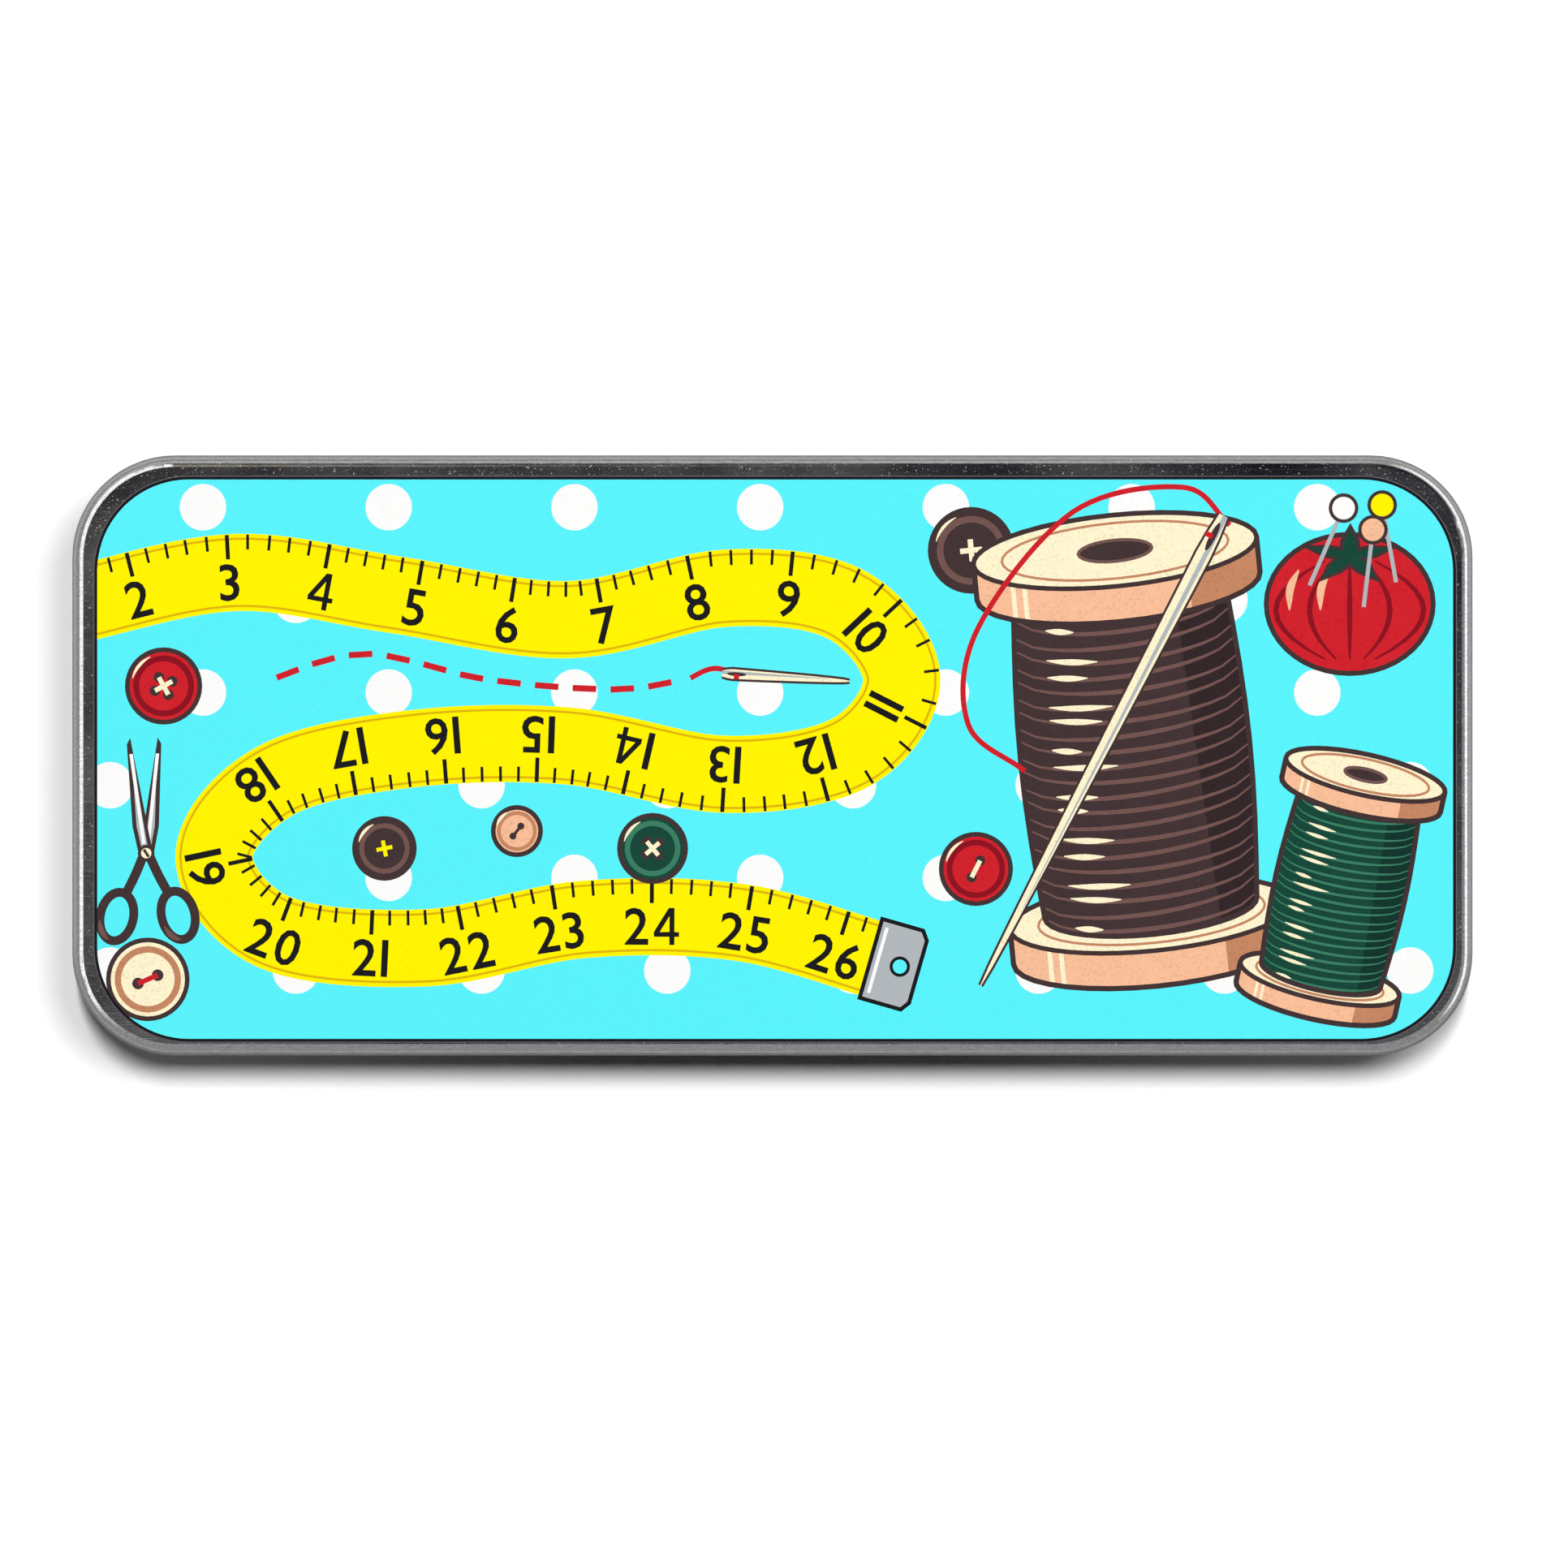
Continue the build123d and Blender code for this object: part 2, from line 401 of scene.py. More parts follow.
def smoothLine(points, steps):
    # a soft curve through every point
    points = [Vector(p) for p in points]
    ends = [2 * points[0] - points[1], *points, 2 * points[-1] - points[-2]]
    line = []
    for before, first, second, after in zip(ends, ends[1:], ends[2:], ends[3:]):
        for i in range(steps):
            t = i / steps
            line.append(
                0.5
                * (
                    2 * first
                    + (second - before) * t
                    + (2 * before - 5 * first + 4 * second - after) * t * t
                    + (3 * first - before - 3 * second + after) * t * t * t
                )
            )
    return [*line, points[-1]]


def sidesOf(line, width, closed=False):
    # the two edges of a stroke along the line, mitred at its corners
    left, right = [], []
    count = len(line)
    for i, point in enumerate(line):
        before = line[i - 1] if i or closed else None
        after = line[(i + 1) % count] if i + 1 < count or closed else None
        back = (point - before).normalized() if before is not None else None
        ahead = (after - point).normalized() if after is not None else None
        back, ahead = back or ahead, ahead or back
        across = (Vector((-back.y, back.x)) + Vector((-ahead.y, ahead.x))).normalized()
        wide = (width(i / (count - 1)) if callable(width) else width) / 2
        wide /= max(0.5, across.dot(Vector((-back.y, back.x))))
        left.append(point + across * wide)
        right.append(point - across * wide)
    return left, right


def stroke(ink, line, width, closed=False):
    # painted as triangles, which stay sound where the line turns sharply
    left, right = sidesOf(line, width, closed)
    last = len(line) if closed else len(line) - 1
    for i in range(last):
        j = (i + 1) % len(line)
        paint(ink, [right[i], right[j], left[j]])
        paint(ink, [right[i], left[j], left[i]])


def swelling(thin, swell, size=1.0):
    # the width of a stroke that is thin at its ends and full in its middle
    return lambda t: size * (thin + swell * math.sin(math.pi * t))


def outlined(ink, corners, edge, width):
    paint(ink, corners)
    stroke(edge, [Vector(c) for c in corners], width, closed=True)


def placed(points, at, turn=0.0, size=1.0):
    spin = Matrix.Rotation(turn, 2)
    return [Vector(at) + spin @ (size * Vector(p)) for p in points]


# polka dots, on the grid that the photograph shows
dots = {
    "across": 11.774,
    "up": 11.75,
    "diameter": 2.95,
    "first": (40.43, 9.86),
    "rows": (-6, 4),
    "columns": (-9, 3),
    "reach": (46, 21),  # dots beyond this miss the label
}


def paintDots():
    wide, high = dots["reach"]
    for row in range(*dots["rows"]):
        for column in range(*dots["columns"]):
            for half in (0, 0.5):
                x = dots["first"][0] + (column + half) * dots["across"]
                y = dots["first"][1] + (row + half) * dots["up"]
                if abs(x) < wide and abs(y) < high:
                    paint("white", oval((x, y), dots["diameter"] / 2, steps=48))


# measuring tape, winding over the left part of the label
tape = {
    "route": [
        (-52, 7.6), (-44, 9.6), (-34, 11.6), (-24, 10.2), (-13, 8.6), (-3, 10.6), (4.6, 9.6), (8.2, 4.9),
        (5.0, 0.2), (-3, -1.2), (-13, 0.6), (-23, 0.4), (-31.5, -1.6), (-35.4, -6.4), (-31.6, -11.2),
        (-22, -12.2), (-12, -10.4), (-2, -10.6), (7.4, -13.2),
    ],
    "width": 4.9,
    "edgeInset": 0.32,
    "edgePen": 0.14,
    "spacing": 1.2,  # between two short marks
    "marksToNumber": 5,
    "shortMark": {"length": 0.95, "pen": 0.18},
    "longMark": {"length": 1.55, "pen": 0.26},
    "markInset": 0.05,
    "numberBelow": 0.62,  # its middle, under the middle of the tape
    "digitHeight": 2.35,
    "digitGap": 0.14,  # a share of the height, as the width of the 4 is
    "thicker": 0.012,
    "digitSteps": 3,  # of each curve in a digit
    "fourWidth": 0.68,
    "clip": {"from": -1.2, "to": 1.5, "nose": 1.9, "proud": 0.15, "corner": 0.4, "pen": 0.26},
    "clipHole": {"at": (0.7, 0), "radius": 0.55, "pen": 0.2},
    "clipGleam": {"at": -0.75, "inset": 0.3, "pen": 0.22},
    "four": (  # the font's 4 closes up when it is thickened, so this one is drawn as three bars
        ((0.09, -0.5), (0.225, -0.5), (0.225, 0.5), (0.09, 0.5)),
        ((-0.33, -0.28), (0.35, -0.28), (0.35, -0.15), (-0.33, -0.15)),
        ((-0.33, -0.15), (-0.17, -0.15), (0.225, 0.5), (0.07, 0.5)),
    ),
}


def digitShapes():
    # the triangles or bars of each plain digit, one unit high, and its width
    shapes = {"4": ([[Vector(corner) for corner in bar] for bar in tape["four"]], tape["fourWidth"])}
    for digit in "012356789":
        curve = bpy.data.curves.new("digit" + digit, "FONT")
        curve.body = digit
        curve.resolution_u = tape["digitSteps"]
        curve.offset = tape["thicker"]
        curve.fill_mode = "FRONT"
        holder = addObject("digit" + digit, curve)
        mesh = bpy.data.meshes.new_from_object(holder.evaluated_get(bpy.context.evaluated_depsgraph_get()))
        flat = bmesh.new()
        flat.from_mesh(mesh)
        bmesh.ops.remove_doubles(flat, verts=flat.verts, dist=1e-5)
        bmesh.ops.triangulate(flat, faces=flat.faces)
        xs = [v.co.x for v in flat.verts]
        ys = [v.co.y for v in flat.verts]
        tall = max(ys) - min(ys)
        shift = Vector(((min(xs) + max(xs)) / 2, (min(ys) + max(ys)) / 2))
        triangles = [[(Vector(v.co.xy) - shift) / tall for v in face.verts] for face in flat.faces]
        shapes[digit] = (triangles, (max(xs) - min(xs)) / tall)
        flat.free()
        bpy.data.meshes.remove(mesh)
        bpy.data.objects.remove(holder)
        bpy.data.curves.remove(curve)
    return shapes


def paintNumber(number, at, turn, shapes):
    gap = tape["digitGap"]
    height = tape["digitHeight"]
    widths = [shapes[digit][1] for digit in str(number)]
    x = -(sum(widths) + gap * (len(widths) - 1)) / 2
    for digit, wide in zip(str(number), widths):
        for triangle in shapes[digit][0]:
            paint("black", placed([p + Vector((x + wide / 2, 0)) for p in triangle], at, turn, height))
        x += wide + gap


def walkAlong(line, spacing):
    # places at even spacing along the line, each with its direction
    gone, due = 0.0, spacing
    for first, second in zip(line, line[1:]):
        step = (second - first).length
        while due <= gone + step:
            yield first.lerp(second, (due - gone) / step), (second - first).normalized()
            due += spacing
        gone += step


def paintTape(shapes):
    line = smoothLine(tape["route"], 12)
    half = tape["width"] / 2
    stroke("yellow", line, tape["width"])
    for edge in sidesOf(line, tape["width"] - 2 * tape["edgeInset"])[::-1]:
        stroke("ochre", edge, tape["edgePen"])
    for i, (spot, ahead) in enumerate(walkAlong(line, tape["spacing"]), start=1):
        number, rest = divmod(i, tape["marksToNumber"])
        mark = tape["shortMark"] if rest else tape["longMark"]
        up = Vector((-ahead.y, ahead.x))
        top = spot + up * (half - tape["markInset"])
        stroke("black", [top, top - up * mark["length"]], mark["pen"])
        if not rest:
            turn = math.atan2(ahead.y, ahead.x)
            paintNumber(number, spot - up * tape["numberBelow"], turn, shapes)
    paintClip(line, half)


def paintClip(line, half):
    # the metal clip on the tape's end
    ahead = (line[-1] - line[-2]).normalized()
    turn = math.atan2(ahead.y, ahead.x)
    clip, hole, gleam = tape["clip"], tape["clipHole"], tape["clipGleam"]
    wide = half + clip["proud"]
    narrow = half - clip["corner"]
    plate = [(clip["from"], -wide), (clip["to"], -wide), (clip["nose"], -narrow)]
    plate += [(clip["nose"], narrow), (clip["to"], wide), (clip["from"], wide)]
    outlined("grey", placed(plate, line[-1], turn), "black", clip["pen"])
    ring = oval(hole["at"], hole["radius"], steps=20)
    outlined("aqua", placed(ring, line[-1], turn), "black", hole["pen"])
    ends = [(gleam["at"], -half + gleam["inset"]), (gleam["at"], half - gleam["inset"])]
    stroke("white", placed(ends, line[-1], turn), gleam["pen"])


# reels of thread
reel = {
    "flange": (9.2, 2.3, 2.3),  # half width, half depth of its oval, thickness
    "core": (6.9, 1.75, 0.55),  # half width, half depth and bulge of the wound thread
    "top": 10.2,
    "bottom": -10.6,
    "gapBelow": 0.5,  # between the thread and the flanges
    "gapAbove": 0.6,
    "flangeShade": 0.42,  # where the shade begins, a share of the half width
    "threadShade": 0.5,
    "flangeGleams": (-0.74, -0.66),  # shares of the half width
    "groove": (0.8, 0.78),  # shares of the flange's oval
    "hole": (0.26, 0.3),
    "rows": 21,
    "firstRow": 0.4,
    "tilts": (0.025, 0.05),  # of one row and the next
    "threadReach": 0.985,
    "threadPen": (0.1, 0.2),
    "glint": {"from": -0.72, "to": -0.46, "longer": 0.1, "lift": 0.12, "pen": (0.06, 0.34)},
    "pens": {"gleam": 0.3, "band": 0.34, "rim": 0.3, "groove": 0.16, "thread": 0.32, "hole": 0.2},
}


def drum(wide, deep, top, bottom, bulge=0.0, steps=18, sideSteps=8):
    # a standing cylinder seen a little from above
    turns = [math.pi * i / steps for i in range(steps + 1)]
    lower = [(-wide * math.cos(a), bottom - deep * math.sin(a)) for a in turns]
    upper = [(wide * math.cos(a), top + deep * math.sin(a)) for a in turns]
    rise = [
        (wide + bulge * math.sin(math.pi * i / sideSteps), bottom + (top - bottom) * i / sideSteps)
        for i in range(1, sideSteps)
    ]
    fall = [(-x, y) for x, y in reversed(rise)]
    return lower + rise + upper + fall


def paintReel(at, turn, size, thread, shade, gleam):
    wide, deep, thick = reel["flange"]
    core, coreDeep, bulge = reel["core"]
    pens = reel["pens"]

    def put(points):
        return placed(points, at, turn, size)

    def ringOn(height, shares, steps):
        return put(oval((0, height), shares[0] * wide, shares[1] * deep, steps=steps))

    def flange(top, bottom):
        band = drum(wide, deep, top, bottom)
        paint("peach", put(band))
        paint("tan", put([p for p in band if p[0] > reel["flangeShade"] * wide]))
        for x in reel["flangeGleams"]:
            drop = deep * math.sqrt(1 - x * x)
            stroke("cream", put([(x * wide, top - drop), (x * wide, bottom - drop)]), pens["gleam"] * size)
        stroke("brown", put(band), pens["band"], closed=True)
        outlined("cream", ringOn(top, (1, 1), 48), "brown", pens["rim"])
        stroke("tan", ringOn(top, reel["groove"], 40), pens["groove"], closed=True)

    flange(reel["bottom"], reel["bottom"] - thick)
    top, bottom = reel["top"], reel["bottom"] + reel["gapBelow"]
    body = drum(core, coreDeep, top, bottom, bulge)
    paint(thread, put(body))
    paint(shade, put([p for p in body if p[0] > reel["threadShade"] * core]))
    for row in range(reel["rows"]):
        y = bottom + (top - bottom) * (row + reel["firstRow"]) / reel["rows"]
        reach = core + bulge * math.sin(math.pi * (y - bottom) / (top - bottom))
        tilt = reel["tilts"][row % 2]

        def acrossThread(start, end, steps, lift=0.0):
            return [
                (x, y + lift + tilt * x - coreDeep * math.sqrt(max(0, 1 - (x / reach) ** 2)))
                for x in (reach * (start + (end - start) * i / steps) for i in range(steps + 1))
            ]

        line = acrossThread(-reel["threadReach"], reel["threadReach"], 14)
        stroke(gleam, put(line), swelling(*reel["threadPen"], size))
        if row % 3 != 1:  # two rows of three catch the light, to four different lengths
            glint = reel["glint"]
            line = acrossThread(glint["from"], glint["to"] + glint["longer"] * (row % 4), 6, glint["lift"])
            stroke("cream", put(line), swelling(*glint["pen"], size))
    stroke("brown", put(body), pens["thread"], closed=True)
    flange(top + thick + reel["gapAbove"], top + reel["gapAbove"])
    hole = ringOn(top + thick + reel["gapAbove"], reel["hole"], 24)
    outlined("brown", hole, "midBrown", pens["hole"])


# tomato pincushion
pincushion = {
    "body": (5.4, 4.5),  # half width and half height
    "seams": (-0.92, -0.5, 0.0, 0.5, 0.92),  # how far to the side each one swings
    "seam": {"swing": 5.2, "power": 0.8, "top": 3.4, "length": 7.6, "pen": (0.12, 0.22)},
    "shines": (-3.3, -1.3),
    "shine": ((0, 2.2), (-0.55, 1.0), (-0.6, -0.4)),
    "shinePen": (0.08, 0.42),
    "leaf": {"reaches": (3.1, 1.7, 0.95, 1.7), "points": 20, "height": 3.1, "flat": 0.62, "turn": 0.3},
    "pins": ((-2.6, 1.2, 2.2, "white"), (3.0, 1.4, -0.9, "yellow"), (0.9, -0.2, 0.6, "peach")),
    "pinHeight": 5.0,
    "headRadius": 0.85,
    "pens": {"body": 0.32, "leaf": 0.22, "pin": 0.26, "head": 0.22},
}


def paintPincushion(at, size):
    pens = pincushion["pens"]

    def put(points):
        return placed(points, at, 0, size)

    outlined("red", put(oval((0, 0), *pincushion["body"], steps=44)), "brown", pens["body"])
    seam = pincushion["seam"]
    for lean in pincushion["seams"]:
        line = [
            (
                lean * seam["swing"] * math.sin(math.pi * i / 12) ** seam["power"],
                seam["top"] - seam["length"] * i / 12,
            )
            for i in range(1, 12)
        ]
        stroke("darkRed", put(line), swelling(*seam["pen"]))
    for start in pincushion["shines"]:
        line = smoothLine([(start + x, y) for x, y in pincushion["shine"]], 5)
        stroke("peach", put(line), swelling(*pincushion["shinePen"]))
    leaf = pincushion["leaf"]
    edge = []
    for i in range(leaf["points"]):
        reach = leaf["reaches"][i % 4]
        around = math.tau * i / leaf["points"] + leaf["turn"]
        edge.append((reach * math.cos(around), leaf["height"] + leaf["flat"] * reach * math.sin(around)))
    outlined("green", put(edge), "brown", pens["leaf"])
    for x, y, lean, head in pincushion["pins"]:
        tip = (x + lean, y + pincushion["pinHeight"])
        stroke("grey", put([(x, y), tip]), pens["pin"])
        outlined(head, put(oval(tip, pincushion["headRadius"], steps=22)), "brown", pens["head"])


# buttons, most sizes as shares of the radius
button = {
    "pen": 0.3,
    "rim": 0.76,
    "rimPen": 0.16,
    "shine": 0.88,
    "shineFrom": 2.0,  # radians
    "shineTurn": 0.9,
    "shinePen": (0.04, 0.16),  # millimetres, as the first pen is
    "holesOut": 0.27,
    "hole": 0.15,
    "threadPen": 0.13,
}


def paintButton(at, radius, ink, rim, holes, turn, thread):
    outlined(ink, oval(at, radius, steps=40), "brown", button["pen"])
    stroke(rim, oval(at, button["rim"] * radius, steps=36), button["rimPen"] * radius, closed=True)

    def around(share, a):
        return Vector(at) + share * radius * Vector((math.cos(a), math.sin(a)))

    turns = (button["shineFrom"] + button["shineTurn"] * i / 8 for i in range(9))
    stroke("cream", [around(button["shine"], a) for a in turns], swelling(*button["shinePen"]))
    spots = [around(button["holesOut"], math.tau * i / holes + turn) for i in range(holes)]
    for spot in spots:
        paint("brown", oval(spot, button["hole"] * radius, steps=16))
    for first, second in zip(spots, spots[holes // 2 :]):
        stroke(thread, [first, second], button["threadPen"] * radius)


# small scissors, one half of them, which is mirrored for the other
scissors = {
    "spread": 0.13,  # radians
    "blade": ((-0.5, 0.55), (3.0, 0.8), (11.6, 0.1), (11.9, -0.05), (-0.5, -0.5)),
    "edge": ((1.0, 0.1), (10.6, 0.02)),
    "shank": ((0, -0.2), (-2.4, -0.9), (-4.6, -1.7)),
    "ring": {"at": (-7.0, -2.35), "radii": (2.6, 1.75), "turn": 0.1},
    "ringGleam": (10, 17),  # the ring's points along which it shines
    "gleamPen": (0.05, 0.3),
    "screw": 0.72,
    "slot": ((-0.4, -0.25), (0.4, 0.25)),
    "pens": {"blade": 0.26, "edge": 0.22, "shank": 1.0, "ring": 0.95, "screw": 0.2, "slot": 0.18},
}


def paintScissors(at, turn, size):
    pens = scissors["pens"]

    def put(points):
        return placed(points, at, turn, size)

    for side in (-1, 1):
        spread = Matrix.Rotation(side * scissors["spread"], 2)

        def mirrored(points):
            return [(x, side * y) for x, y in points]

        def opened(points):
            return put([spread @ Vector(p) for p in points])

        outlined("grey", opened(mirrored(scissors["blade"])), "brown", pens["blade"])
        stroke("white", opened(mirrored(scissors["edge"])), pens["edge"])
        shank = smoothLine(mirrored(scissors["shank"]), 6)
        stroke("brown", opened(shank), pens["shank"] * size)
        middle = mirrored([scissors["ring"]["at"]])[0]
        ring = opened(oval(middle, *scissors["ring"]["radii"], side * scissors["ring"]["turn"], 34))
        stroke("brown", ring, pens["ring"] * size, closed=True)
        first, last = scissors["ringGleam"]
        stroke("midBrown", ring[first:last], swelling(*scissors["gleamPen"]))
    outlined("cream", put(oval((0, 0), scissors["screw"], steps=20)), "brown", pens["screw"])
    stroke("brown", put(scissors["slot"]), pens["slot"])


# needle with its thread, most sizes as shares of the needle's size
needle = {
    "thick": 0.95,
    "atEye": 0.55,  # how much of its thickness it has there, and how fast it reaches the rest
    "grows": 7,
    "taper": 0.55,
    "tip": 0.05,  # millimetres, as the outline and the thread are
    "outline": 0.3,
    "thread": 0.34,
    "gleam": {"aside": 0.13, "thick": 0.3, "tip": 0.04, "short": 4},
    "eye": {"at": 1.5, "high": 0.2, "threadFrom": 0.5},
    "steps": 24,
}


def paintNeedle(eye, tip, size, trail, ink):
    eye, tip = Vector(eye), Vector(tip)
    ahead = (tip - eye).normalized()
    aside = Vector((-ahead.y, ahead.x))
    stroke(ink, smoothLine(trail, 12), needle["thread"])
    shaft = [eye.lerp(tip, i / needle["steps"]) for i in range(needle["steps"] + 1)]

    def thickness(t):
        full = min(1.0, needle["atEye"] + needle["grows"] * t)
        return needle["thick"] * size * full * (1 - t) ** needle["taper"] + needle["tip"]

    stroke("brown", shaft, lambda t: thickness(t) + needle["outline"])
    stroke("cream", shaft, thickness)
    gleam = needle["gleam"]
    line = [p + gleam["aside"] * size * aside for p in shaft[: -gleam["short"]]]
    stroke("grey", line, lambda t: gleam["thick"] * size * (1 - t) + gleam["tip"])
    hole = eye + needle["eye"]["at"] * size * ahead
    high = needle["eye"]["high"] * size
    paint("brown", oval(hole, size, high, math.atan2(ahead.y, ahead.x), 18))
    stroke(ink, [hole - needle["eye"]["threadFrom"] * size * aside, hole], needle["thread"])


# dashes of running stitch
def paintStitches(route, ink, dash, gap, width):
    line = smoothLine(route, 14)
    for spot, ahead in walkAlong(line, dash + gap):
        stroke(ink, [spot - ahead * dash / 2, spot + ahead * dash / 2], width)


# where everything lies, from the bottom of the print to its top
motifs = {
    "stitches": {
        "route": [(-33, 4.4), (-26, 6.4), (-18, 4.8), (-10, 4.2), (-5, 4.9)],
        "ink": "red",
        "dash": 1.5,
        "gap": 0.9,
        "width": 0.4,
    },
    "scissors": {"at": (-39.7, -6.2), "turn": math.pi / 2 + 0.02, "size": 0.6},
    "buttons": (  # middle, radius, ink, rim, holes, turn, thread
        ((-38.6, 4.4), 2.3, "red", "darkRed", 4, 0.5, "cream"),
        ((-24.6, -5.9), 1.9, "brown", "midBrown", 4, 0.2, "yellow"),
        ((-16.2, -4.8), 1.5, "peach", "tan", 2, 0.9, "brown"),
        ((-7.6, -5.9), 2.1, "green", "lightGreen", 4, 0.7, "cream"),
        ((-39.6, -14.2), 2.5, "cream", "tan", 2, 0.4, "red"),
        ((12.6, 13.0), 2.6, "brown", "midBrown", 4, 0.1, "cream"),
    ),
    "pincushion": {"at": (36.6, 9.6), "size": 0.98},
    "reels": (  # middle, turn, size, thread, its shade and its gleam
        ((23.0, 0.2), 0.1, 0.98, "brown", "darkBrown", "midBrown"),
        ((36.0, -8.4), -0.22, 0.56, "green", "darkGreen", "lightGreen"),
    ),
    "buttonOnTop": ((12.9, -7.2), 2.2, "red", "darkRed", 2, 1.1, "cream"),
    "needles": (
        {
            "eye": (28.6, 15.2),
            "tip": (13.2, -14.6),
            "size": 1.0,
            "trail": [(29.0, 14.6), (26.0, 17.0), (19.0, 15.4), (13.0, 8.0), (12.4, 2.0), (16.0, -1.0)],
            "ink": "red",
        },
        {
            "eye": (-3.2, 5.2),
            "tip": (4.9, 4.7),
            "size": 0.62,
            "trail": [(-5.2, 4.9), (-4.2, 5.4), (-3.4, 5.5), (-2.4, 5.2)],
            "ink": "red",
        },
    ),
}


def paintMotifs():
    paintDots()
    paintStitches(**motifs["stitches"])
    paintTape(digitShapes())
    paintScissors(**motifs["scissors"])
    for values in motifs["buttons"]:
        paintButton(*values)
    paintPincushion(**motifs["pincushion"])
    for values in motifs["reels"]:
        paintReel(*values)
    paintButton(*motifs["buttonOnTop"])
    for values in motifs["needles"]:
        paintNeedle(**values)


# printed label, cut into one face for each patch of ink
label = {
    "radius": 6.05,  # of its corners
    "paperRim": 0.04,
    "darkRim": 0.185,
    "softEdge": 0.02,
    "overlap": 0.004,  # of the two rims
    "cornerSteps": 20,
    "closest": 1e-5,  # points nearer to each other than this become one
    "sliver": 0.0006,  # faces thinner than this are closed up
}


def roundedBox(low, high, radius, steps):
    corners = []
    spots = ((high.x - radius, high.y - radius), (low.x + radius, high.y - radius))
    spots += ((low.x + radius, low.y + radius), (high.x - radius, low.y + radius))
    for quarter, (x, y) in enumerate(spots):
        for i in range(steps + 1):
            a = math.pi / 2 * (quarter + i / steps)
            corners.append(Vector((x + radius * math.cos(a), y + radius * math.sin(a))))
    return corners


def makeLabel(materials):
    low, high = labelLow.xy, labelHigh.xy
    inset = label["softEdge"]
    shift = Vector((inset, inset))
    paint("aqua", roundedBox(low + shift, high - shift, label["radius"] - inset, label["cornerSteps"]))
    paintMotifs()
    middlePaper = label["paperRim"] / 2
    middleDark = label["paperRim"] + label["darkRim"] / 2
    rims = (("black", label["darkRim"], middleDark), ("paper", label["paperRim"], middlePaper))
    for ink, wide, away in rims:
        shift = Vector((inset + away, inset + away))
        ring = roundedBox(low + shift, high - shift, label["radius"] - inset - away, label["cornerSteps"])
        stroke(ink, ring, wide + label["overlap"], closed=True)
    points, faces = [], []
    for ink, corners in art:
        faces.append(list(range(len(points), len(points) + len(corners))))
        points += [Vector(c) for c in corners]
    print("label artwork:", len(faces), "shapes,", len(points), "points")
    found = delaunay_2d_cdt(points, [], faces, 1, label["closest"])
    flatPoints, flatFaces, sources = found[0], found[2], found[5]
    used = sorted({ink for ink, corners in art})
    builder = bmesh.new()
    top = labelHigh.z
    spots = [builder.verts.new((p.x * mm, p.y * mm, top * mm)) for p in flatPoints]
    for corners, source in zip(flatFaces, sources):
        centre = sum((flatPoints[i] for i in corners), Vector((0, 0))) / len(corners)
        inside = [i for i in source if holds(art[i][1], centre)]
        if 0 in inside:
            face = builder.faces.new([spots[i] for i in corners])
            face.material_index = used.index(art[max(inside)][0])
    bmesh.ops.delete(builder, geom=[v for v in builder.verts if not v.link_faces], context="VERTS")
    builder.normal_update()
    closeLabel(builder, used.index("paper"))
    bmesh.ops.dissolve_degenerate(builder, dist=label["sliver"] * mm, edges=builder.edges[:])
    builder.verts.index_update()
    ranked = sorted(builder.faces, key=lambda face: sorted(corner.index for corner in face.verts))
    for i, face in enumerate(ranked):
        face.index = i
    builder.faces.sort()  # by those numbers, so that every run gives the same mesh
    piece = meshFrom(builder, "printed_label")
    for ink in used:
        piece.data.materials.append(materials[ink])
    print("label mesh:", len(piece.data.polygons), "faces")
    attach(piece, "lid")
    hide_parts("lid_label", "label_laminate")


def closeLabel(builder, paper):
    # soft edge, sides and underside of the label
    middle = (labelLow.xy + labelHigh.xy) / 2
    reach = (labelHigh.xy - labelLow.xy) / 2 - Vector((label["radius"], label["radius"]))

    def pushedOut(point, distance):
        flat = Vector((point.x / mm, point.y / mm)) - middle
        inner = Vector((max(-reach.x, min(reach.x, flat.x)), max(-reach.y, min(reach.y, flat.y))))
        outwards = (flat - inner).normalized()
        return outwards * distance * mm

    rim = [e for e in builder.edges if e.is_boundary]
    for push, height in ((label["softEdge"], labelHigh.z - label["softEdge"]), (0.0, labelLow.z)):
        made = bmesh.ops.extrude_edge_only(builder, edges=rim)["geom"]
        for item in made:
            if isinstance(item, bmesh.types.BMFace):
                item.material_index = paper
        for vertex in (v for v in made if isinstance(v, bmesh.types.BMVert)):
            out = pushedOut(vertex.co, push)
            vertex.co = Vector((vertex.co.x + out.x, vertex.co.y + out.y, height * mm))
        rim = [e for e in made if isinstance(e, bmesh.types.BMEdge) and e.is_boundary]
    for face in bmesh.ops.holes_fill(builder, edges=rim, sides=0)["faces"]:
        face.material_index = paper
    bmesh.ops.recalc_face_normals(builder, faces=builder.faces)


# pale floor, open under the middle of the tin so that its underside shows the studio too
floor = {
    "size": 6.0,
    "white": 0.985,
    "mirrored": (0.5, 0.5, 0.5, 1.0),  # painted shade in reflections: the floor is darker where metal mirrors it
    "mirroredElsewhere": 0.35,  # how much of that is seen beside and behind the tin
    "frontStarts": (-0.03, -0.01),  # metres along Y
    "glowStarts": (0.022, 0.5),  # metres from the middle, where its own light begins and is full
    "roughness": 0.9,
    "underTin": 1.2,  # millimetres of floor left under the tin's edge
    "cornerSteps": 8,
}


